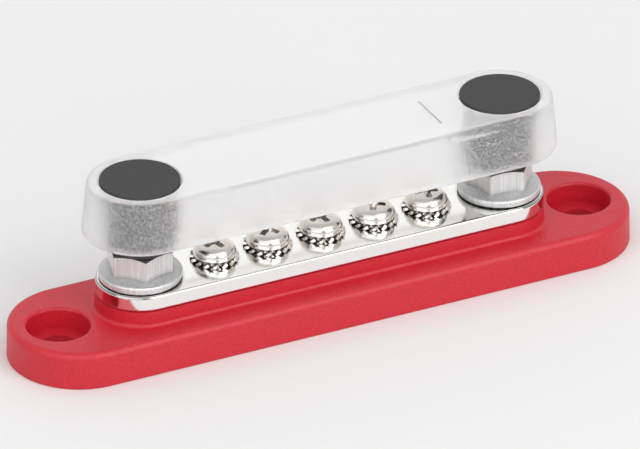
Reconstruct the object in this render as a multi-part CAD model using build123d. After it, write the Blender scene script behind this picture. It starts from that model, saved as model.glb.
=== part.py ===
from build123d import *
import os
from math import atan, cos, degrees, radians, sin, tan

# Power distribution block. A moulded base carries a plated bus bar, which a flange nut on a
# stud clamps down at each end. Five screws with toothed washers take the branch wires, and a
# frosted cover presses onto the studs through two rubber plugs.
# Frame: millimetres, +Z up, +X along the bar, origin at the middle of the base's underside.

# Base
BASE_LENGTH = 113.0
BASE_WIDTH = 24.3
LUG_TOP = 6.5
BASE_DRAFT = 1.0
BASE_TOP_EDGE_R = 1.1
BASE_FOOT_EDGE_R = 0.3
BAR_SEAT = 9.2
SEAT_MARGIN = 0.1
SEAT_DRAFT = 1.5
SEAT_FOOT_R = 0.6

# Screw holes that fix the base to a panel
MOUNT_SPACING = 96.5
MOUNT_HOLE_R = 2.75
MOUNT_HEAD_R = 5.35
MOUNT_HEAD_DEPTH = 3.6
MOUNT_MOUTH_R = 0.5

# Bus bar
BAR_LENGTH = 81.4
BAR_WIDTH = 15.0
BAR_THICKNESS = 2.8
BAR_EDGE_R = 0.45

# Studs: hexagon bolts held in pockets under the base
STUD_SPACING = 66.4
STUD_R = 2.95
STUD_TOP = 25.0
STUD_TIP_CHAMFER = 0.6
STUD_HEAD_FLATS = 10.0
STUD_HEAD_HEIGHT = 4.0
STUD_HEAD_SINK = 0.3
STUD_POCKET_CLEARANCE = 0.1
STUD_HOLE_CLEARANCE = 0.25

# Flange nuts
NUT_HEIGHT = 6.0
NUT_FLATS = 10.0
NUT_CHAMFER_R = 4.7
NUT_CHAMFER_ANGLE = 30.0
NUT_BORE_CLEARANCE = 0.05
NUT_BORE_CHAMFER = 0.4
NUT_TURNS = {"left": 14.3, "right": 49.7}
FLANGE_R = 7.0
FLANGE_RIM_HEIGHT = 1.3
FLANGE_RIM_R = 0.45
FLANGE_SLOPE = 25.0
FLANGE_NECK_R = 4.4
SERRATIONS = 30
SERRATION_DEPTH = 0.28
SERRATION_WIDTH = 0.95
SERRATION_INNER_R = 5.0

# Terminal screws
SCREW_COUNT = 5
SCREW_PITCH = 9.8
SCREW_LENGTH = 8.0
SCREW_SHANK_R = 1.95
SCREW_THREAD_CLEARANCE = 0.05
SCREW_TIP_CHAMFER = 0.4
SCREW_HOLE_CLEARANCE = 0.4
SCREW_HOLE_SPARE = 0.6
SCREW_HEAD_R = 3.6
SCREW_HEAD_HEIGHT = 2.3
SCREW_HEAD_EDGE_R = 1.5
SCREW_HEAD_FOOT_R = 0.25
SCREW_CROWN_ANGLE = 12.0
TAPPED_MOUTH_CHAMFER = 0.2
RECESS_R = 2.15
RECESS_DEPTH = 1.6
RECESS_WING_WIDTH = 1.05
RECESS_WING_SLOPE = 26.5
RECESS_CORE_R = 0.95
RECESS_CORE_TIP_R = 0.5
RECESS_TURNS = (18.0, 37.0, 14.0, 62.0, 80.0)

# Toothed lock washers
WASHER_HEIGHT = 0.8
WASHER_THICKNESS = 0.5
WASHER_BORE_CLEARANCE = 0.2
WASHER_RING_R = 3.2
WASHER_OUTER_R = 4.1
WASHER_TEETH = 16
TOOTH_WIDTH = 1.0
TOOTH_TWIST = 38.0
TOOTH_ROOT = 0.25

# Cover
COVER_RIM = 21.0
COVER_TOP = 30.2
COVER_RIM_R = 9.75
COVER_TOP_R = 8.85
COVER_WALL = 1.1
COVER_CEILING = 1.4
COVER_TOP_EDGE_R = 0.8
COVER_INNER_EDGE_R = 0.5
COVER_RIM_EDGE_R = 0.3
SLEEVE_WALL = 1.1
SLEEVE_LIFT = 0.8
SLEEVE_MOUTH_CHAMFER = 0.3
RIB_REACH = 20.0
RIB_WIDTH = 0.9
RIB_HEIGHT = 0.9
GROOVE_X = 19.9
GROOVE_Y = -0.5
GROOVE_LENGTH = 8.4
GROOVE_WIDTH = 0.4
GROOVE_DEPTH = 0.4

# Rubber plugs
PLUG_DISC_R = 6.75
PLUG_DISC_THICKNESS = 1.15
PLUG_DISC_EDGE_R = 0.2
PLUG_DISC_CLEARANCE = 0.1
PLUG_PROUD = 0.15
PLUG_BODY_R = 6.15
PLUG_SLEEVE_FIT = 0.03
PLUG_BEAD = 0.2
PLUG_BEAD_HEIGHT = 0.7
PLUG_BEAD_GAP = 0.05
PLUG_FOOT_CHAMFER = 0.4
PLUG_NUT_GAP = 0.3
PLUG_BORE_CLEARANCE = 0.05
PLUG_BORE_SPARE = 0.1

# Heights, fits and places that follow from the sizes above
BAR_TOP = BAR_SEAT + BAR_THICKNESS
BAR_SPACING = BAR_LENGTH - BAR_WIDTH
POCKET_TOP = STUD_HEAD_SINK + STUD_HEAD_HEIGHT
NUT_TOP = BAR_TOP + NUT_HEIGHT
NUT_BORE_R = STUD_R + NUT_BORE_CLEARANCE
SCREW_SEAT = BAR_TOP + WASHER_HEIGHT
SCREW_END = SCREW_SEAT - SCREW_LENGTH
TAPPED_R = SCREW_SHANK_R + SCREW_THREAD_CLEARANCE
COVER_INSIDE = COVER_TOP - COVER_CEILING
COVER_DRAFT = degrees(atan((COVER_RIM_R - COVER_TOP_R) / (COVER_TOP - COVER_RIM)))
SLEEVE_R = PLUG_BODY_R + PLUG_SLEEVE_FIT
SLEEVE_END = COVER_RIM + SLEEVE_LIFT
DISC_SEAT = COVER_TOP + PLUG_PROUD - PLUG_DISC_THICKNESS
PLUG_FOOT = NUT_TOP + PLUG_NUT_GAP
STUD_PLACES = {"left": -STUD_SPACING / 2, "right": STUD_SPACING / 2}
MOUNT_PLACES = (-MOUNT_SPACING / 2, MOUNT_SPACING / 2)
SCREW_PLACES = [(i - (SCREW_COUNT - 1) / 2) * SCREW_PITCH for i in range(SCREW_COUNT)]


def upright(radius, low, high, x=0.0):
    """A cylinder along Z between two heights."""
    return Pos(x, 0, low) * Cylinder(radius, high - low, align=(Align.CENTER, Align.CENTER, Align.MIN))


def tapered(low_radius, high_radius, low, high, x=0.0):
    """A cone frustum along Z between two heights."""
    frustum = Cone(low_radius, high_radius, high - low, align=(Align.CENTER, Align.CENTER, Align.MIN))
    return Pos(x, 0, low) * frustum


def hexagon(flats, low, high):
    """A hexagonal prism along Z between two heights."""
    return Pos(0, 0, low) * extrude(RegularPolygon(flats / 2, 6, major_radius=False), high - low)


def stadium(radius, spacing, low, high, draft=0.0):
    """A prism with half-round ends about two centres on X; it leans inwards by its draft."""
    return Pos(0, 0, low) * extrude(SlotCenterToCenter(spacing, 2 * radius), high - low, taper=draft)


def top_outline(solid):
    """The edges round a solid's highest flat face."""
    return solid.faces().sort_by(Axis.Z)[-1].outer_wire().edges()


def bottom_outline(solid):
    """The edges round a solid's lowest flat face."""
    return solid.faces().sort_by(Axis.Z)[0].outer_wire().edges()


def make_base():
    """The moulded base: two lugs, and between them a raised seat as long as the bar."""
    lug = stadium(BASE_WIDTH / 2, BASE_LENGTH - BASE_WIDTH, 0, LUG_TOP, BASE_DRAFT)
    lug = fillet(top_outline(lug), BASE_TOP_EDGE_R)
    lug = fillet(bottom_outline(lug), BASE_FOOT_EDGE_R)
    seat_foot_r = BAR_WIDTH / 2 + SEAT_MARGIN + BAR_SEAT * tan(radians(SEAT_DRAFT))
    seat = stadium(seat_foot_r, BAR_SPACING, 0, BAR_SEAT, SEAT_DRAFT)
    base = lug + seat
    base = fillet(new_edges(lug, seat, combined=base), SEAT_FOOT_R)

    for x in MOUNT_PLACES:
        counterbore = upright(MOUNT_HEAD_R, LUG_TOP - MOUNT_HEAD_DEPTH, BAR_SEAT, x)
        sunk = base - counterbore
        base = fillet(new_edges(base, counterbore, combined=sunk), MOUNT_MOUTH_R)
        base -= upright(MOUNT_HOLE_R, 0, LUG_TOP, x)

    for x in STUD_PLACES.values():
        base -= Pos(x, 0, 0) * hexagon(STUD_HEAD_FLATS + 2 * STUD_POCKET_CLEARANCE, 0, POCKET_TOP)
        base -= upright(STUD_R + STUD_HOLE_CLEARANCE, 0, BAR_SEAT, x)
    for x in SCREW_PLACES:
        base -= upright(SCREW_SHANK_R + SCREW_HOLE_CLEARANCE, SCREW_END - SCREW_HOLE_SPARE, BAR_SEAT, x)
    return base


def make_bus_bar():
    """The plated bar, with clear holes for the studs and tapped ones for the screws."""
    bar = stadium(BAR_WIDTH / 2, BAR_SPACING, BAR_SEAT, BAR_TOP)
    bar = fillet(top_outline(bar) + bottom_outline(bar), BAR_EDGE_R)
    for x in STUD_PLACES.values():
        bar -= upright(STUD_R + STUD_HOLE_CLEARANCE, BAR_SEAT, BAR_TOP, x)
    mouth_r = TAPPED_R + TAPPED_MOUTH_CHAMFER
    for x in SCREW_PLACES:
        bar -= upright(TAPPED_R, BAR_SEAT, BAR_TOP, x)
        bar -= tapered(TAPPED_R, mouth_r, BAR_TOP - TAPPED_MOUTH_CHAMFER, BAR_TOP, x)
    return bar


def make_stud():
    """A hexagon bolt standing on its head; its tip comes up through the nut."""
    shank = upright(STUD_R, STUD_HEAD_SINK, STUD_TOP)
    shank = chamfer(top_outline(shank), STUD_TIP_CHAMFER)
    return shank + hexagon(STUD_HEAD_FLATS, STUD_HEAD_SINK, POCKET_TOP)


def make_serrations():
    """Cutters for the ramped grooves that fan out under a flange."""
    width, depth = SERRATION_WIDTH, SERRATION_DEPTH
    ramp = Polyline((-0.6 * width, 0), (0.3 * width, depth), (0.4 * width, 0), close=True)
    cutter = Pos(SERRATION_INNER_R, 0, 0) * extrude(Plane.YZ * make_face(ramp), FLANGE_R)
    return [Rot(0, 0, 360 * i / SERRATIONS) * cutter for i in range(SERRATIONS)]


def make_flange_nut():
    """A nut with its underside at zero: chamfered hexagon on a sloping, serrated flange."""
    neck_height = FLANGE_RIM_HEIGHT + (FLANGE_R - FLANGE_NECK_R) * tan(radians(FLANGE_SLOPE))
    outline = make_face(Polyline(
        (0, 0), (FLANGE_R, 0), (FLANGE_R, FLANGE_RIM_HEIGHT), (FLANGE_NECK_R, neck_height), (0, neck_height),
        close=True,
    ))
    outline = fillet(outline.vertices().sort_by(Axis.X)[-2:], FLANGE_RIM_R)
    flange = revolve(Plane.XZ * outline, Axis.Z)

    chamfer_foot_r = NUT_CHAMFER_R + NUT_HEIGHT / tan(radians(NUT_CHAMFER_ANGLE))
    crown = hexagon(NUT_FLATS, 0, NUT_HEIGHT) & tapered(chamfer_foot_r, NUT_CHAMFER_R, 0, NUT_HEIGHT)
    nut = flange + crown - make_serrations() - upright(NUT_BORE_R, 0, NUT_HEIGHT)
    return nut - tapered(NUT_BORE_R, NUT_BORE_R + NUT_BORE_CHAMFER, NUT_HEIGHT - NUT_BORE_CHAMFER, NUT_HEIGHT)


def make_recess():
    """Cutter for a cross recess whose mouth is at zero: tapering wings about a conical core."""
    wing = Box(2 * RECESS_R, RECESS_WING_WIDTH, 2 * RECESS_DEPTH)
    tip_r = RECESS_R - RECESS_DEPTH * tan(radians(RECESS_WING_SLOPE))
    wings = (wing + Rot(0, 0, 90) * wing) & tapered(tip_r, RECESS_R, -RECESS_DEPTH, 0)
    return wings + tapered(RECESS_CORE_TIP_R, RECESS_CORE_R, -RECESS_DEPTH, 0)


def make_screw(recess_turn):
    """A pan-head screw with its head on its washer; the recess is turned by an angle."""
    crown_r = SCREW_HEAD_R - SCREW_HEAD_EDGE_R * (1 - sin(radians(SCREW_CROWN_ANGLE)))
    crown_rise = crown_r * tan(radians(SCREW_CROWN_ANGLE / 2))
    side = SCREW_HEAD_HEIGHT - crown_rise - SCREW_HEAD_EDGE_R * cos(radians(SCREW_CROWN_ANGLE))
    corner = JernArc((SCREW_HEAD_R, side), (0, 1), SCREW_HEAD_EDGE_R, 90 - SCREW_CROWN_ANGLE)
    crown = TangentArc(corner @ 1, (0, SCREW_HEAD_HEIGHT), tangent=corner % 1)
    foot = Polyline((0, SCREW_HEAD_HEIGHT), (0, 0), (SCREW_HEAD_R, 0), (SCREW_HEAD_R, side))
    outline = make_face(Wire([corner, crown] + foot.edges()))
    outline = fillet(outline.vertices().sort_by(Axis.Y)[:2].sort_by(Axis.X)[-1:], SCREW_HEAD_FOOT_R)
    head = revolve(Plane.XZ * outline, Axis.Z)
    head -= Pos(0, 0, SCREW_HEAD_HEIGHT) * Rot(0, 0, recess_turn) * make_recess()

    shank = upright(SCREW_SHANK_R, -SCREW_LENGTH, 0)
    shank = chamfer(bottom_outline(shank), SCREW_TIP_CHAMFER)
    return Pos(0, 0, SCREW_SEAT) * (head + shank)


def make_washer():
    """An external-tooth washer on the bar: each tooth is twisted, so its corners bite."""
    middle = WASHER_HEIGHT / 2
    ring = upright(WASHER_RING_R, middle - WASHER_THICKNESS / 2, middle + WASHER_THICKNESS / 2)
    tooth_length = WASHER_OUTER_R - WASHER_RING_R + 2 * TOOTH_ROOT
    blank = Rot(TOOTH_TWIST, 0, 0) * Box(tooth_length, TOOTH_WIDTH, WASHER_THICKNESS)
    tooth = Pos((WASHER_RING_R + WASHER_OUTER_R) / 2, 0, middle) * blank
    teeth = [Rot(0, 0, 360 * i / WASHER_TEETH) * tooth for i in range(WASHER_TEETH)]
    washer = (ring + teeth) & upright(WASHER_OUTER_R, 0, WASHER_HEIGHT)
    washer -= upright(SCREW_SHANK_R + WASHER_BORE_CLEARANCE, 0, WASHER_HEIGHT)
    return Pos(0, 0, BAR_TOP) * washer


def make_ribs(inside):
    """Ribs that tie each sleeve to the long walls under the ceiling, cut from the hollow."""
    wall_y = COVER_TOP_R - COVER_WALL
    length = STUD_SPACING / 2 - RIB_REACH
    blank = Box(length, 2 * RIB_WIDTH, 2 * RIB_HEIGHT)
    places = [(sx * (RIB_REACH + length / 2), sy * wall_y) for sx in (-1, 1) for sy in (-1, 1)]
    return [inside & (Pos(x, y, COVER_INSIDE) * blank) for x, y in places]


def make_cover():
    """The frosted cover: a drafted shell with a sleeve for each plug."""
    outside = stadium(COVER_RIM_R, STUD_SPACING, COVER_RIM, COVER_TOP, COVER_DRAFT)
    outside = fillet(top_outline(outside), COVER_TOP_EDGE_R)
    inside = stadium(COVER_RIM_R - COVER_WALL, STUD_SPACING, COVER_RIM, COVER_INSIDE, COVER_DRAFT)
    inside = fillet(top_outline(inside), COVER_INNER_EDGE_R)
    cover = outside - inside
    cover = fillet(cover.faces().sort_by(Axis.Z)[0].edges(), COVER_RIM_EDGE_R)
    cover += make_ribs(inside)

    disc_hole_r = PLUG_DISC_R + PLUG_DISC_CLEARANCE
    for x in STUD_PLACES.values():
        cover += upright(SLEEVE_R + SLEEVE_WALL, SLEEVE_END, COVER_INSIDE, x)
        cover -= upright(SLEEVE_R, SLEEVE_END, COVER_TOP, x)
        cover -= upright(disc_hole_r, DISC_SEAT, COVER_TOP, x)
        mouth_foot = COVER_TOP - SLEEVE_MOUTH_CHAMFER
        cover -= tapered(disc_hole_r, disc_hole_r + SLEEVE_MOUTH_CHAMFER, mouth_foot, COVER_TOP, x)
    groove = Box(GROOVE_WIDTH, GROOVE_LENGTH, 2 * GROOVE_DEPTH)
    return cover - Pos(GROOVE_X, GROOVE_Y, COVER_TOP) * groove


def make_plug():
    """A rubber plug: a disc in the cover's top, a body in its sleeve and a blind bore."""
    disc = upright(PLUG_DISC_R, DISC_SEAT, DISC_SEAT + PLUG_DISC_THICKNESS)
    disc = fillet(top_outline(disc), PLUG_DISC_EDGE_R)
    body = upright(PLUG_BODY_R, PLUG_FOOT, DISC_SEAT)
    body = chamfer(bottom_outline(body), PLUG_FOOT_CHAMFER)
    bead_top = SLEEVE_END - PLUG_BEAD_GAP
    bead = tapered(PLUG_BODY_R, PLUG_BODY_R + PLUG_BEAD, bead_top - PLUG_BEAD_HEIGHT, bead_top)
    return disc + body + bead - upright(STUD_R + PLUG_BORE_CLEARANCE, PLUG_FOOT, STUD_TOP + PLUG_BORE_SPARE)


def build_parts():
    """Every piece of the block in its place, by name."""
    parts = {"base": make_base(), "bus_bar": make_bus_bar(), "cover": make_cover()}
    stud, nut, plug = make_stud(), make_flange_nut(), make_plug()
    for side, x in STUD_PLACES.items():
        parts[f"stud_{side}"] = Pos(x, 0, 0) * stud
        parts[f"flange_nut_{side}"] = Pos(x, 0, BAR_TOP) * Rot(0, 0, NUT_TURNS[side]) * nut
        parts[f"cover_plug_{side}"] = Pos(x, 0, 0) * plug
    washer = make_washer()
    for number, x in enumerate(SCREW_PLACES, start=1):
        turn = RECESS_TURNS[(number - 1) % len(RECESS_TURNS)]
        parts[f"terminal_screw_{number}"] = Pos(x, 0, 0) * make_screw(turn)
        parts[f"lock_washer_{number}"] = Pos(x, 0, 0) * washer
    return parts


if __name__ == "__main__":
    os.makedirs("parts", exist_ok=True)
    for name, shape in build_parts().items():
        export_step(shape, f"parts/{name}.step")
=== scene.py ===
import logging
import math
from dataclasses import dataclass
from enum import Enum

import bmesh
import bpy
from mathutils import Matrix, Vector


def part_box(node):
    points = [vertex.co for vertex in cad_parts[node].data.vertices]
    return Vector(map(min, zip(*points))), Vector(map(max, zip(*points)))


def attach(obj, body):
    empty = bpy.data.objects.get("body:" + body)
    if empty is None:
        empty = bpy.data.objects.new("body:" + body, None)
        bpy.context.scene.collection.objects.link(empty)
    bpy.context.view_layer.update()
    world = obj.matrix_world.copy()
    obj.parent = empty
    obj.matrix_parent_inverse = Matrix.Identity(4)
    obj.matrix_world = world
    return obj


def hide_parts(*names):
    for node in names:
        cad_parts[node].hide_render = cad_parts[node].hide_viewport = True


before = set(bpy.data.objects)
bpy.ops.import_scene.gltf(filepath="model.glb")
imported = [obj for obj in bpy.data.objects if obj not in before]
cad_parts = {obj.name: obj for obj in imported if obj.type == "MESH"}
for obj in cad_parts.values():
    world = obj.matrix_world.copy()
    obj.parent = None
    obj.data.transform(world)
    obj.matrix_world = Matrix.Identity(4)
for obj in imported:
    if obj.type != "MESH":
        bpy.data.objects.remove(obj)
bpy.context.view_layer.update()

LOG = logging.getLogger("power_block")
MM = 0.001

# The width of the photograph's frame in pixels, which the camera's lens is worked out for.
FRAME_WIDTH = 640
SENSOR_WIDTH_MM = 36.0

SCREW_NUMBERS = range(1, 6)

# Nearly all of a noise texture's values lie between these two.
NOISE_LOW = 0.3
NOISE_HIGH = 0.7
FINE_DETAIL = 2.0
LINE_DETAIL = 3.0

# The shares of open space round a spot at which it counts as shut in and as free.
SHUT_IN = 0.28
FREE = 0.88
CREVICE_SAMPLES = 8
EDGE_SAMPLES = 4


class Side(Enum):
    """The block's two ends, by the word that the names of their pieces end in."""

    LEFT = "left"
    RIGHT = "right"


class Tip(Enum):
    """Which way a fastener's free end points, counted along Z."""

    UP = 1
    DOWN = -1


def linear(hex_colour: str) -> tuple[float, float, float, float]:
    """Turns an sRGB hex colour into linear RGBA.

    Args:
        hex_colour: Six hex digits, such as "C81E2A".

    Returns:
        Red, green, blue and an alpha of one.
    """
    channels = [int(hex_colour[i:i + 2], 16) / 255 for i in (0, 2, 4)]
    rgb = [c / 12.92 if c <= 0.04045 else ((c + 0.055) / 1.055) ** 2.4 for c in channels]
    return (rgb[0], rgb[1], rgb[2], 1.0)


def direction(azimuth_deg: float, elevation_deg: float) -> Vector:
    """Turns an azimuth and an elevation into a direction out from the object.

    Args:
        azimuth_deg: Degrees round from -Y towards +X.
        elevation_deg: Degrees above the horizon.

    Returns:
        The direction, with a length of one.
    """
    azimuth, elevation = math.radians(azimuth_deg), math.radians(elevation_deg)
    level = math.cos(elevation)
    return Vector((math.sin(azimuth) * level, -math.cos(azimuth) * level, math.sin(elevation)))


def add_node(tree: bpy.types.NodeTree, kind: str, inputs: dict | None = None,
             **settings: str | int | bool) -> bpy.types.Node:
    """Adds a shader node with its settings, input values and links.

    Args:
        tree: The node tree that gets the node.
        kind: Blender's name for the node type.
        inputs: Input names or numbers, each with a value, or with an output socket to link.
        settings: The node's own settings by name, set before its inputs.

    Returns:
        The new node.
    """
    node = tree.nodes.new(kind)
    for name, value in settings.items():
        setattr(node, name, value)
    for name, value in (inputs or {}).items():
        if isinstance(value, bpy.types.NodeSocket):
            tree.links.new(value, node.inputs[name])
        else:
            node.inputs[name].default_value = value
    return node


def new_material(name: str) -> tuple[bpy.types.Material, bpy.types.NodeTree]:
    """Makes a material whose node tree is still empty.

    Args:
        name: The material's name.

    Returns:
        The material and its node tree.
    """
    material = bpy.data.materials.new(name)
    material.use_nodes = True
    material.node_tree.nodes.clear()
    return material, material.node_tree


def in_crevices(tree: bpy.types.NodeTree, colour: str, depth: float,
                reach_mm: float) -> bpy.types.NodeSocket:
    """Darkens a metal where other metal stands close to it and shuts out the studio's light.

    Args:
        tree: The material's node tree.
        colour: The open metal's sRGB hex colour.
        depth: How far a fully shut-in place darkens, from nought to one.
        reach_mm: How near the other metal has to be.

    Returns:
        The socket with the colour.
    """
    space = add_node(tree, "ShaderNodeAmbientOcclusion", {"Distance": reach_mm * MM},
                     samples=CREVICE_SAMPLES)
    light = add_node(tree, "ShaderNodeMapRange", {
        "Value": space.outputs["AO"], "From Min": SHUT_IN, "From Max": FREE, "To Min": 1 - depth})
    shaded = add_node(tree, "ShaderNodeVectorMath", {
        0: linear(colour)[:3], "Scale": light.outputs["Result"]}, operation="SCALE")
    return shaded.outputs["Vector"]


@dataclass(frozen=True)
class MouldedNylon:
    """Glass-filled nylon, injection moulded in a spark-eroded tool.

    The tool leaves a fine, even grain, so the red is satin: it takes a pale haze from the
    studio instead of clear reflections.
    """

    name: str = "moulded_nylon_red"
    colour: str = "CE1F32"
    deep_colour: str = "B81425"
    ior: float = 1.53
    roughness: float = 0.46
    # The real grain is a few hundredths of a millimetre. It is drawn two pixels wide, to show.
    grain_mm: float = 0.32
    grain_height_mm: float = 0.060

    def material(self) -> bpy.types.Material:
        """Builds the material.

        Returns:
            The material for the base.
        """
        material, tree = new_material(self.name)
        place = add_node(tree, "ShaderNodeTexCoord")
        grain = add_node(tree, "ShaderNodeTexNoise", {
            "Vector": place.outputs["Object"], "Scale": 1 / (self.grain_mm * MM),
            "Detail": FINE_DETAIL})
        fleck = add_node(tree, "ShaderNodeMapRange", {
            "Value": grain.outputs["Fac"], "From Min": NOISE_LOW, "From Max": NOISE_HIGH})
        colour = add_node(tree, "ShaderNodeMix", {
            "Factor": fleck.outputs["Result"], "A": linear(self.deep_colour),
            "B": linear(self.colour)}, data_type="RGBA")
        bump = add_node(tree, "ShaderNodeBump", {
            "Height": grain.outputs["Fac"], "Distance": self.grain_height_mm * MM,
            "Strength": 1.0})
        shader = add_node(tree, "ShaderNodeBsdfPrincipled", {
            "Base Color": colour.outputs["Result"], "Roughness": self.roughness,
            "IOR": self.ior, "Normal": bump.outputs["Normal"]})
        add_node(tree, "ShaderNodeOutputMaterial", {"Surface": shader.outputs["BSDF"]})
        return material


@dataclass(frozen=True)
class PlatedMetal:
    """Bright electroplate on metal: tin on the bar, nickel on the screws and washers.

    The plate follows the metal under it, so the reflection is clear but swims a little. On
    the bar's rounded edge its colour has painted shade, which draws the bar's outline.
    """

    name: str
    colour: str
    roughness: float
    swim_mm: float
    swim_height_mm: float
    edge_mm: float
    crevice_depth: float
    crevice_mm: float
    # How bright a rounded edge stays under its painted shade; one paints no shade.
    painted_edge_brightness: float = 1.0
    # The upward share of the normal in the middle of a rounded edge, and how far to each side.
    edge_tilt: float = 0.60
    edge_tilt_reach: float = 0.34

    def material(self) -> bpy.types.Material:
        """Builds the material.

        Returns:
            The material for the plated pieces.
        """
        material, tree = new_material(self.name)
        place = add_node(tree, "ShaderNodeTexCoord")
        edge = add_node(tree, "ShaderNodeBevel", {"Radius": self.edge_mm * MM}, samples=EDGE_SAMPLES)
        swim = add_node(tree, "ShaderNodeTexNoise", {
            "Vector": place.outputs["Object"], "Scale": 1 / (self.swim_mm * MM),
            "Detail": FINE_DETAIL})
        bump = add_node(tree, "ShaderNodeBump", {
            "Height": swim.outputs["Fac"], "Distance": self.swim_height_mm * MM,
            "Strength": 1.0, "Normal": edge.outputs["Normal"]})
        # Painted shade: the colour darkens where the normal tilts up as on the bar's rounded edge.
        surface = add_node(tree, "ShaderNodeNewGeometry")
        facing = add_node(tree, "ShaderNodeSeparateXYZ", {"Vector": surface.outputs["Normal"]})
        turning = add_node(tree, "ShaderNodeMath", {
            0: facing.outputs["Z"], 1: self.edge_tilt, 2: self.edge_tilt_reach},
            operation="COMPARE")
        painted_edge_shade = add_node(tree, "ShaderNodeMapRange", {
            "Value": turning.outputs["Value"], "To Min": 1.0, "To Max": self.painted_edge_brightness})
        colour = add_node(tree, "ShaderNodeVectorMath", {
            0: in_crevices(tree, self.colour, self.crevice_depth, self.crevice_mm),
            "Scale": painted_edge_shade.outputs["Result"]}, operation="SCALE")
        shader = add_node(tree, "ShaderNodeBsdfPrincipled", {
            "Base Color": colour.outputs["Vector"], "Metallic": 1.0,
            "Roughness": self.roughness, "Normal": bump.outputs["Normal"]})
        add_node(tree, "ShaderNodeOutputMaterial", {"Surface": shader.outputs["BSDF"]})
        return material


@dataclass(frozen=True)
class BrushedStainless:
    """Stainless steel, cold formed and lightly brushed up and down its sides.

    The brushing draws upright lines on the sides, which break the reflections into streaks.
    What faces up, such as the flange's slope, is darkened with painted shade.
    """

    name: str = "brushed_stainless"
    colour: str = "EFEFEF"
    roughness: float = 0.53
    # Real brush lines are a few hundredths of a millimetre apart. They are drawn two pixels
    # apart, to show.
    line_mm: float = 0.30
    line_length_mm: float = 9.0
    line_height_mm: float = 0.060
    edge_mm: float = 0.12
    crevice_depth: float = 0.85
    crevice_mm: float = 1.7
    streak_depth: float = 0.22
    # How bright what faces up stays under its painted shade.
    painted_slope_brightness: float = 0.78
    # The upward shares of the normal between which a side turns into a slope.
    side_until: float = 0.5
    slope_from: float = 0.8

    def material(self) -> bpy.types.Material:
        """Builds the material.

        Returns:
            The material for the studs and nuts.
        """
        material, tree = new_material(self.name)
        place = add_node(tree, "ShaderNodeTexCoord")
        across, along = 1 / (self.line_mm * MM), 1 / (self.line_length_mm * MM)
        stretched = add_node(tree, "ShaderNodeMapping", {
            "Vector": place.outputs["Object"], "Scale": (across, across, along)})
        lines = add_node(tree, "ShaderNodeTexNoise", {
            "Vector": stretched.outputs["Vector"], "Scale": 1.0, "Detail": LINE_DETAIL})
        edge = add_node(tree, "ShaderNodeBevel", {"Radius": self.edge_mm * MM}, samples=EDGE_SAMPLES)
        bump = add_node(tree, "ShaderNodeBump", {
            "Height": lines.outputs["Fac"], "Distance": self.line_height_mm * MM,
            "Strength": 1.0, "Normal": edge.outputs["Normal"]})
        streak = add_node(tree, "ShaderNodeMapRange", {
            "Value": lines.outputs["Fac"], "From Min": NOISE_LOW, "From Max": NOISE_HIGH,
            "To Min": 1 - self.streak_depth})
        # Painted shade: what faces up is darkened, by how far its normal points up.
        surface = add_node(tree, "ShaderNodeNewGeometry")
        facing = add_node(tree, "ShaderNodeSeparateXYZ", {"Vector": surface.outputs["Normal"]})
        slope = add_node(tree, "ShaderNodeMapRange", {
            "Value": facing.outputs["Z"], "From Min": self.side_until,
            "From Max": self.slope_from, "To Min": 1.0, "To Max": self.painted_slope_brightness})
        shade = add_node(tree, "ShaderNodeMath", {
            0: streak.outputs["Result"], 1: slope.outputs["Result"]}, operation="MULTIPLY")
        colour = add_node(tree, "ShaderNodeVectorMath", {
            0: in_crevices(tree, self.colour, self.crevice_depth, self.crevice_mm),
            "Scale": shade.outputs["Value"]}, operation="SCALE")
        shader = add_node(tree, "ShaderNodeBsdfPrincipled", {
            "Base Color": colour.outputs["Vector"], "Metallic": 1.0,
            "Roughness": self.roughness, "Normal": bump.outputs["Normal"]})
        add_node(tree, "ShaderNodeOutputMaterial", {"Surface": shader.outputs["BSDF"]})
        return material


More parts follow.
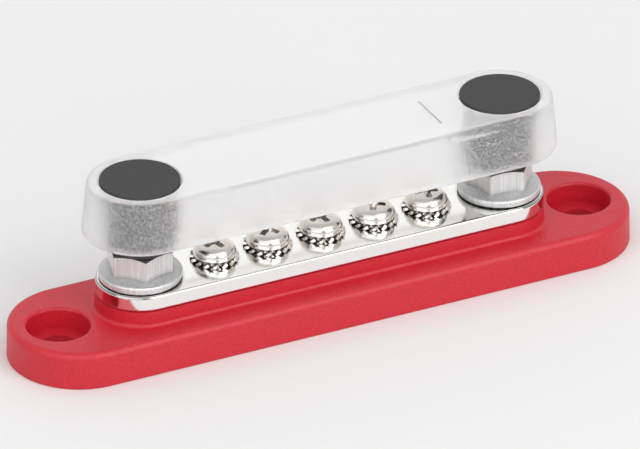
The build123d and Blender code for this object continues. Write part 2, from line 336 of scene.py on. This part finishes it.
@dataclass(frozen=True)
class FrostedPolycarbonate:
    """Clear polycarbonate, moulded in a tool whose cavity is blasted and whose core is polished.

    The outer skin is pebbled and frosted: it scatters what lies behind the wall, so only
    things that nearly touch it show, and it lifts the cover to the paper's brightness. The
    surfaces inside stay clear, so the sleeves and ribs draw fine lines through the skin.
    """

    name: str = "frosted_polycarbonate"
    colour: str = "FFFFFF"
    haze_colour: str = "FCFCFC"
    side_haze: float = 0.20
    top_haze: float = 0.46
    glancing_haze: float = 0.32
    glancing_blend: float = 0.25
    speckle: float = 0.42
    outward_share: float = 0.85
    # Polycarbonate's own index is 1.58. This lower one is matched to the photograph, where
    # the walls hardly darken what stands behind them.
    ior: float = 1.26
    side_roughness: float = 0.62
    top_roughness: float = 0.32
    inner_roughness: float = 0.10
    # Real blasting leaves pits of about a tenth of a millimetre. They are drawn two pixels
    # wide, to show.
    pebble_mm: float = 0.34
    pebble_height_mm: float = 0.010
    top_pebble_share: float = 0.1
    # The ends' radius at the top, and how far the skin goes into the wall.
    top_radius_mm: float = 8.85
    skin_mm: float = 0.55
    # The upward shares of the normal between which a side turns into the top.
    side_until: float = 0.75
    top_from: float = 0.98

    def skin(self, tree: bpy.types.NodeTree, place: bpy.types.NodeSocket) -> bpy.types.NodeSocket:
        """Tells the outer skin, with the rim, from the surfaces inside the cover.

        Args:
            tree: The material's node tree.
            place: The socket that gives the place on the part, in metres.

        Returns:
            A socket that is one on the outer skin and nought inside.
        """
        # The wall leans in towards the top. How far it stands from the middle line, with what
        # it has leant in by that height added back, is the same all the way up.
        low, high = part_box("cover")
        lean = (high.y - self.top_radius_mm * MM) / (high.z - low.z)
        part = add_node(tree, "ShaderNodeSeparateXYZ", {"Vector": place})
        along = add_node(tree, "ShaderNodeMath", {0: part.outputs["X"]}, operation="ABSOLUTE")
        past_stud = add_node(tree, "ShaderNodeMath", {
            0: along.outputs["Value"], 1: high.x - high.y}, operation="SUBTRACT")
        round_end = add_node(tree, "ShaderNodeMath", {
            0: past_stud.outputs["Value"], 1: 0.0}, operation="MAXIMUM")
        flat = add_node(tree, "ShaderNodeCombineXYZ", {
            "X": round_end.outputs["Value"], "Y": part.outputs["Y"]})
        reach = add_node(tree, "ShaderNodeVectorMath", {0: flat.outputs["Vector"]},
                         operation="LENGTH")
        leaning = add_node(tree, "ShaderNodeMath", {
            0: part.outputs["Z"], 1: lean, 2: reach.outputs["Value"]}, operation="MULTIPLY_ADD")
        on_wall = add_node(tree, "ShaderNodeMath", {
            0: leaning.outputs["Value"], 1: high.y + low.z * lean - self.skin_mm * MM},
            operation="GREATER_THAN")
        on_top = add_node(tree, "ShaderNodeMath", {
            0: part.outputs["Z"], 1: high.z - self.skin_mm * MM}, operation="GREATER_THAN")
        on_rim = add_node(tree, "ShaderNodeMath", {
            0: part.outputs["Z"], 1: low.z + self.skin_mm * MM}, operation="LESS_THAN")
        on_edge = add_node(tree, "ShaderNodeMath", {
            0: on_rim.outputs["Value"], 1: on_top.outputs["Value"]}, operation="MAXIMUM")
        on_skin = add_node(tree, "ShaderNodeMath", {
            0: on_wall.outputs["Value"], 1: on_edge.outputs["Value"]}, operation="MAXIMUM")
        return on_skin.outputs["Value"]

    def haze_share(self, tree: bpy.types.NodeTree, skin: bpy.types.NodeSocket,
                   top: bpy.types.NodeSocket, pebble: bpy.types.NodeSocket) -> bpy.types.NodeSocket:
        """Works out how much of the light the frosting scatters.

        Args:
            tree: The material's node tree.
            skin: The socket that is one on the outer skin.
            top: The socket that is one on what faces straight up or down.
            pebble: The socket with the pebbles' pattern.

        Returns:
            A socket from nought, where the plastic is clear, to one.
        """
        speckled = add_node(tree, "ShaderNodeMapRange", {
            "Value": pebble, "To Min": self.side_haze - self.speckle / 2,
            "To Max": self.side_haze + self.speckle / 2})
        depth = add_node(tree, "ShaderNodeMapRange", {
            "Value": top, "To Min": speckled.outputs["Result"], "To Max": self.top_haze})
        glance = add_node(tree, "ShaderNodeLayerWeight", {"Blend": self.glancing_blend})
        hazier = add_node(tree, "ShaderNodeMath", {
            0: glance.outputs["Facing"], 1: self.glancing_haze, 2: depth.outputs["Result"]},
            operation="MULTIPLY_ADD", use_clamp=True)
        hazed = add_node(tree, "ShaderNodeMath", {0: hazier.outputs["Value"], 1: skin},
                         operation="MULTIPLY")
        return hazed.outputs["Value"]

    def material(self) -> bpy.types.Material:
        """Builds the material.

        Returns:
            The material for the cover.
        """
        material, tree = new_material(self.name)
        place = add_node(tree, "ShaderNodeTexCoord")
        skin = self.skin(tree, place.outputs["Object"])
        surface = add_node(tree, "ShaderNodeNewGeometry")
        facing = add_node(tree, "ShaderNodeSeparateXYZ", {"Vector": surface.outputs["Normal"]})
        upward = add_node(tree, "ShaderNodeMath", {0: facing.outputs["Z"]}, operation="ABSOLUTE")
        top = add_node(tree, "ShaderNodeMapRange", {
            "Value": upward.outputs["Value"], "From Min": self.side_until,
            "From Max": self.top_from}, interpolation_type="SMOOTHSTEP")
        frosting = add_node(tree, "ShaderNodeMapRange", {
            "Value": top.outputs["Result"], "To Min": self.side_roughness,
            "To Max": self.top_roughness})
        roughness = add_node(tree, "ShaderNodeMapRange", {
            "Value": skin, "To Min": self.inner_roughness, "To Max": frosting.outputs["Result"]})
        strength = add_node(tree, "ShaderNodeMapRange", {
            "Value": top.outputs["Result"], "To Min": skin, "To Max": self.top_pebble_share})
        pebble = add_node(tree, "ShaderNodeTexVoronoi", {
            "Vector": place.outputs["Object"], "Scale": 1 / (self.pebble_mm * MM)})
        bump = add_node(tree, "ShaderNodeBump", {
            "Height": pebble.outputs["Distance"], "Distance": self.pebble_height_mm * MM,
            "Strength": strength.outputs["Result"]})
        clear = add_node(tree, "ShaderNodeBsdfPrincipled", {
            "Base Color": linear(self.colour), "Roughness": roughness.outputs["Result"],
            "IOR": self.ior, "Transmission Weight": 1.0, "Normal": bump.outputs["Normal"]})
        outward = add_node(tree, "ShaderNodeBsdfDiffuse", {
            "Color": linear(self.haze_colour), "Normal": bump.outputs["Normal"]})
        inward = add_node(tree, "ShaderNodeBsdfTranslucent", {
            "Color": linear(self.haze_colour), "Normal": bump.outputs["Normal"]})
        haze = add_node(tree, "ShaderNodeMixShader", {
            0: self.outward_share, 1: inward.outputs["BSDF"], 2: outward.outputs["BSDF"]})
        share = self.haze_share(tree, skin, top.outputs["Result"], pebble.outputs["Distance"])
        frosted = add_node(tree, "ShaderNodeMixShader", {
            0: share, 1: clear.outputs["BSDF"], 2: haze.outputs["Shader"]})
        add_node(tree, "ShaderNodeOutputMaterial", {"Surface": frosted.outputs["Shader"]})
        return material


@dataclass(frozen=True)
class MouldedRubber:
    """Carbon-black rubber, compression moulded in a blasted tool: dark, dry and matte."""

    name: str = "moulded_rubber"
    colour: str = "323234"
    ior: float = 1.52
    roughness: float = 0.62
    # The real grain is a few hundredths of a millimetre. It is drawn over a pixel wide, to show.
    grain_mm: float = 0.22
    grain_height_mm: float = 0.010

    def material(self) -> bpy.types.Material:
        """Builds the material.

        Returns:
            The material for the plugs.
        """
        material, tree = new_material(self.name)
        place = add_node(tree, "ShaderNodeTexCoord")
        grain = add_node(tree, "ShaderNodeTexNoise", {
            "Vector": place.outputs["Object"], "Scale": 1 / (self.grain_mm * MM),
            "Detail": FINE_DETAIL})
        bump = add_node(tree, "ShaderNodeBump", {
            "Height": grain.outputs["Fac"], "Distance": self.grain_height_mm * MM,
            "Strength": 1.0})
        shader = add_node(tree, "ShaderNodeBsdfPrincipled", {
            "Base Color": linear(self.colour), "Roughness": self.roughness,
            "IOR": self.ior, "Normal": bump.outputs["Normal"]})
        add_node(tree, "ShaderNodeOutputMaterial", {"Surface": shader.outputs["BSDF"]})
        return material


@dataclass(frozen=True)
class BackdropPaper:
    """Seamless studio paper: an even, pale, fully matte surface."""

    name: str = "backdrop_paper"
    colour: str = "E9E9E9"

    def material(self) -> bpy.types.Material:
        """Builds the material.

        Returns:
            The material for the floor.
        """
        material, tree = new_material(self.name)
        shader = add_node(tree, "ShaderNodeBsdfDiffuse", {"Color": linear(self.colour)})
        add_node(tree, "ShaderNodeOutputMaterial", {"Surface": shader.outputs["BSDF"]})
        return material


TIN_PLATE = PlatedMetal(
    name="tin_plate", colour="FBFAF8", roughness=0.12, swim_mm=6.0, swim_height_mm=0.004,
    edge_mm=0.05, crevice_depth=0.45, crevice_mm=0.8, painted_edge_brightness=0.48)
NICKEL_PLATE = PlatedMetal(
    name="nickel_plate", colour="E7E2DC", roughness=0.22, swim_mm=1.2, swim_height_mm=0.024,
    edge_mm=0.06, crevice_depth=0.64, crevice_mm=0.55)


@dataclass(frozen=True)
class RolledThread:
    """A right-hand metric thread, rolled on a shank: each turn catches the light as a fine line.

    The shares are parts of the pitch: the groove's depth and the flats on crest and root.
    """

    radius_mm: float
    pitch_mm: float
    tip_chamfer_mm: float
    depth_share: float = 0.61
    crest_share: float = 0.125
    root_share: float = 0.25
    around: int = 48
    rows_per_pitch: int = 8

    def radius_at(self, phase: float, from_tip_mm: float, from_head_mm: float) -> float:
        """Works out the shank's radius at one place on the thread.

        Args:
            phase: How far the place is through a turn; the crest is at a half.
            from_tip_mm: Distance along the axis from the free end.
            from_head_mm: Distance along the axis from the head, where the groove runs out.

        Returns:
            The radius in millimetres.
        """
        beside_crest = abs(phase % 1.0 - 0.5) * 2
        flank = (beside_crest - self.crest_share) / (1 - self.crest_share - self.root_share)
        groove = min(max(flank, 0.0), 1.0) * self.depth_share * self.pitch_mm
        groove *= min(from_head_mm / self.pitch_mm, 1.0)
        return min(self.radius_mm - groove, self.radius_mm - self.tip_chamfer_mm + from_tip_mm)

    def add_to(self, shape: bmesh.types.BMesh, axis_x: float, head_z: float, tip_z: float) -> None:
        """Adds the threaded shank to a mesh.

        Args:
            shape: The mesh that gets the shank.
            axis_x: The shank's place along X, in metres.
            head_z: The height at which the shank leaves the head, in metres.
            tip_z: The height of the free end, in metres.
        """
        length = abs(tip_z - head_z) / MM
        rows = math.ceil(length / self.pitch_mm * self.rows_per_pitch)
        rings = []
        for row in range(rows + 1):
            from_head = length * row / rows
            height = head_z + (tip_z - head_z) * row / rows
            ring = []
            for step in range(self.around):
                share = step / self.around
                phase = height / MM / self.pitch_mm - share
                radius = self.radius_at(phase, length - from_head, from_head) * MM
                angle = 2 * math.pi * share
                ring.append(shape.verts.new(
                    (axis_x + radius * math.cos(angle), radius * math.sin(angle), height)))
            rings.append(ring)
        faces = []
        for near, far in zip(rings, rings[1:]):
            for step in range(self.around):
                after = (step + 1) % self.around
                corners = [near[step], near[after], far[after], far[step]]
                faces.append(shape.faces.new(corners if tip_z > head_z else corners[::-1]))
        for face in faces:
            face.smooth = True
        shape.faces.new(rings[-1] if tip_z > head_z else rings[-1][::-1])


M6_THREAD = RolledThread(radius_mm=2.95, pitch_mm=1.0, tip_chamfer_mm=0.6)
M4_THREAD = RolledThread(radius_mm=1.95, pitch_mm=0.7, tip_chamfer_mm=0.4, around=40)


@dataclass(frozen=True)
class ThreadedFastener:
    """A bolt or screw: the CAD head as it is, and a rolled thread in place of the plain shank."""

    node: str
    body: str
    slot: str
    head_mm: float
    tip: Tip
    thread: RolledThread
    finish: bpy.types.Material
    # How far off the plain shank a corner may lie and still be taken for part of it.
    slack_mm: float = 0.01

    def threaded_mesh(self) -> bpy.types.Mesh:
        """Copies the CAD node's mesh, with the thread in place of the plain shank.

        Returns:
            The new mesh.
        """
        low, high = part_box(self.node)
        axis_x = (low.x + high.x) / 2
        up = self.tip is Tip.UP
        head_z = low.z + self.head_mm * MM if up else high.z - self.head_mm * MM
        tip_z = high.z if up else low.z
        shape = bmesh.new()
        shape.from_mesh(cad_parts[self.node].data)
        reach = (self.thread.radius_mm + self.slack_mm) * MM
        slack = self.slack_mm * MM * self.tip.value
        on_shank = {
            corner for corner in shape.verts
            if math.hypot(corner.co.x - axis_x, corner.co.y) < reach
            and (corner.co.z + slack - head_z) * self.tip.value > 0}
        shank = [face for face in shape.faces if all(corner in on_shank for corner in face.verts)]
        bmesh.ops.delete(shape, geom=shank, context="FACES")
        self.thread.add_to(shape, axis_x, head_z, tip_z)
        mesh = bpy.data.meshes.new(f"{self.node}_threaded")
        shape.to_mesh(mesh)
        shape.free()
        return mesh

    def build(self) -> None:
        """Makes the piece, which stands for its CAD node and rides on the same body."""
        mesh = self.threaded_mesh()
        mesh.materials.append(self.finish)
        piece = bpy.data.objects.new(f"{self.node}_threaded", mesh)
        bpy.context.scene.collection.objects.link(piece)
        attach(piece, self.body)
        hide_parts(self.node)
        LOG.info("threaded %s in %s: %d faces", self.node, self.finish.name, len(mesh.polygons))


def give_finish(node: str, material: bpy.types.Material) -> None:
    """Gives a CAD node its finish.

    Args:
        node: The CAD node's name.
        material: The finish for all its faces.
    """
    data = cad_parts[node].data
    data.materials.clear()
    data.materials.append(material)
    LOG.info("dressed %s in %s", node, material.name)


@dataclass(frozen=True)
class BusBarBase:
    """The moulded base and the plated bar that lies on its raised seat."""

    moulding: bpy.types.Material
    plating: bpy.types.Material

    def build(self) -> None:
        """Dresses the base and the bar, whose shapes are the CAD model's own."""
        give_finish("base", self.moulding)
        give_finish("bus_bar", self.plating)


@dataclass(frozen=True)
class StudClamp:
    """One end's clamp: a hexagon bolt, up through the base and bar, and its flange nut."""

    side: Side
    steel: bpy.types.Material
    head_mm: float = 4.0
    thread: RolledThread = M6_THREAD

    def build(self) -> None:
        """Threads the bolt and dresses the nut."""
        bolt = ThreadedFastener(
            node=f"stud_{self.side.value}", body="base_assembly", slot="stud_steel",
            head_mm=self.head_mm, tip=Tip.UP, thread=self.thread, finish=self.steel)
        bolt.build()
        give_finish(f"flange_nut_{self.side.value}", self.steel)


@dataclass(frozen=True)
class Terminal:
    """One terminal: a pan-head screw and the toothed lock washer under its head."""

    number: int
    nickel: bpy.types.Material
    head_mm: float = 2.3
    thread: RolledThread = M4_THREAD

    def build(self) -> None:
        """Threads the screw and dresses the washer."""
        name = f"terminal_screw_{self.number}"
        screw = ThreadedFastener(
            node=name, body=name, slot="screw_nickel",
            head_mm=self.head_mm, tip=Tip.DOWN, thread=self.thread, finish=self.nickel)
        screw.build()
        give_finish(f"lock_washer_{self.number}", self.nickel)


@dataclass(frozen=True)
class PressOnCover:
    """The frosted cover and the two rubber plugs in it, which grip the studs."""

    shell: bpy.types.Material
    rubber: bpy.types.Material

    def build(self) -> None:
        """Dresses the cover and its plugs, whose shapes are the CAD model's own."""
        give_finish("cover", self.shell)
        for side in Side:
            give_finish(f"cover_plug_{side.value}", self.rubber)


@dataclass(frozen=True)
class Camera:
    """The photograph's camera, solved from the outlines of the object."""

    azimuth_deg: float = -26.3
    elevation_deg: float = 29.45
    roll_deg: float = 0.1
    distance_mm: float = 2200.0
    focal_px: float = 13244.0
    target_mm: tuple[float, float, float] = (-0.11, 0.0, 13.47)
    clip_start_mm: float = 10.0
    clip_end_mm: float = 20000.0

    def back(self) -> Vector:
        """Gives the direction from the object to the camera."""
        return direction(self.azimuth_deg, self.elevation_deg)

    def build(self) -> None:
        """Makes the camera and hands it to the scene."""
        back = self.back()
        right = Vector((-back.y, back.x, 0.0)).normalized()
        up = back.cross(right)
        turn = math.radians(self.roll_deg)
        across = right * math.cos(turn) + up * math.sin(turn)
        upright = up * math.cos(turn) - right * math.sin(turn)
        data = bpy.data.cameras.new("camera")
        data.sensor_width = SENSOR_WIDTH_MM
        data.lens = self.focal_px / FRAME_WIDTH * SENSOR_WIDTH_MM
        data.clip_start = self.clip_start_mm * MM
        data.clip_end = self.clip_end_mm * MM
        camera = bpy.data.objects.new("camera", data)
        axes = Matrix((across, upright, back)).transposed().to_4x4()
        place = Matrix.Translation(Vector(self.target_mm) * MM + back * (self.distance_mm * MM))
        camera.matrix_world = place @ axes
        bpy.context.scene.collection.objects.link(camera)
        bpy.context.scene.camera = camera
        LOG.info("camera lens %.1f mm", data.lens)


@dataclass(frozen=True)
class Softbox:
    """A rectangular studio softbox that faces the object.

    Its place is an azimuth to the camera's right, an elevation and a distance.
    """

    name: str
    azimuth_deg: float
    width_mm: float
    height_mm: float = 3000.0
    elevation_deg: float = 34.0
    distance_mm: float = 3000.0
    watts: float = 52.5

    def build(self, camera: Camera) -> None:
        """Makes the light, turned to the object's middle.

        Args:
            camera: The camera, whose azimuth the light's is counted from.
        """
        out = direction(camera.azimuth_deg + self.azimuth_deg, self.elevation_deg)
        data = bpy.data.lights.new(self.name, "AREA")
        data.shape = "RECTANGLE"
        data.size = self.width_mm * MM
        data.size_y = self.height_mm * MM
        data.energy = self.watts
        light = bpy.data.objects.new(self.name, data)
        light.location = out * (self.distance_mm * MM)
        light.rotation_mode = "QUATERNION"
        light.rotation_quaternion = out.to_track_quat("Z", "Y")
        bpy.context.scene.collection.objects.link(light)
        LOG.info("%s: %.1f W", self.name, self.watts)


@dataclass(frozen=True)
class Studio:
    """A pale paper floor in a light tent, dimmer on the camera's side, with softboxes."""

    camera: Camera = Camera()
    floor_mm: float = 12000.0
    bright: float = 1.0
    dim: float = 0.26
    bright_elevation_deg: float = 10.0
    # The cosine of the angle from the brightest direction at which the tent is at its dimmest.
    dim_from: float = -0.6
    softboxes: tuple[Softbox, ...] = (
        Softbox(name="softbox_left", azimuth_deg=-26.5, width_mm=3670.0),
        Softbox(name="softbox_right", azimuth_deg=46.5, width_mm=1900.0),
    )

    def build(self) -> None:
        """Makes the floor, the tent's light, the softboxes and the camera."""
        self.build_floor()
        self.build_tent()
        for softbox in self.softboxes:
            softbox.build(self.camera)
        self.camera.build()

    def build_floor(self) -> None:
        """Lays the paper at the height of the base's underside."""
        half = self.floor_mm * MM / 2
        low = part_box("base")[0].z
        mesh = bpy.data.meshes.new("floor")
        corners = [(-half, -half, low), (half, -half, low), (half, half, low), (-half, half, low)]
        mesh.from_pydata(corners, [], [(0, 1, 2, 3)])
        mesh.materials.append(BackdropPaper().material())
        floor = bpy.data.objects.new("floor", mesh)
        bpy.context.scene.collection.objects.link(floor)

    def build_tent(self) -> None:
        """Lights the world: bright behind and above the object, dimmer on the camera's side."""
        world = bpy.data.worlds.new("tent")
        bpy.context.scene.world = world
        world.use_nodes = True
        tree = world.node_tree
        tree.nodes.clear()
        way = add_node(tree, "ShaderNodeTexCoord")
        back = self.camera.back()
        level = Vector((back.x, back.y, 0.0)).normalized()
        tilt = math.radians(self.bright_elevation_deg)
        brightest = Vector((0.0, 0.0, math.sin(tilt))) - level * math.cos(tilt)
        toward = add_node(tree, "ShaderNodeVectorMath", {
            0: way.outputs["Generated"], 1: brightest}, operation="DOT_PRODUCT")
        shade = add_node(tree, "ShaderNodeMapRange", {
            "Value": toward.outputs["Value"], "From Min": self.dim_from, "From Max": 1.0,
            "To Min": self.dim, "To Max": self.bright})
        light = add_node(tree, "ShaderNodeBackground", {
            "Color": (1.0, 1.0, 1.0, 1.0), "Strength": shade.outputs["Result"]})
        add_node(tree, "ShaderNodeOutputWorld", {"Surface": light.outputs["Background"]})


def main() -> None:
    """Builds the sub-assemblies in order, then the studio."""
    logging.basicConfig(level=logging.INFO, format="%(name)s: %(message)s")
    bpy.context.scene.view_settings.view_transform = "Standard"
    steel, nickel = BrushedStainless().material(), NICKEL_PLATE.material()
    BusBarBase(MouldedNylon().material(), TIN_PLATE.material()).build()
    for side in Side:
        StudClamp(side, steel).build()
    for number in SCREW_NUMBERS:
        Terminal(number, nickel).build()
    PressOnCover(FrostedPolycarbonate().material(), MouldedRubber().material()).build()
    Studio().build()


if __name__ == "__main__":
    main()
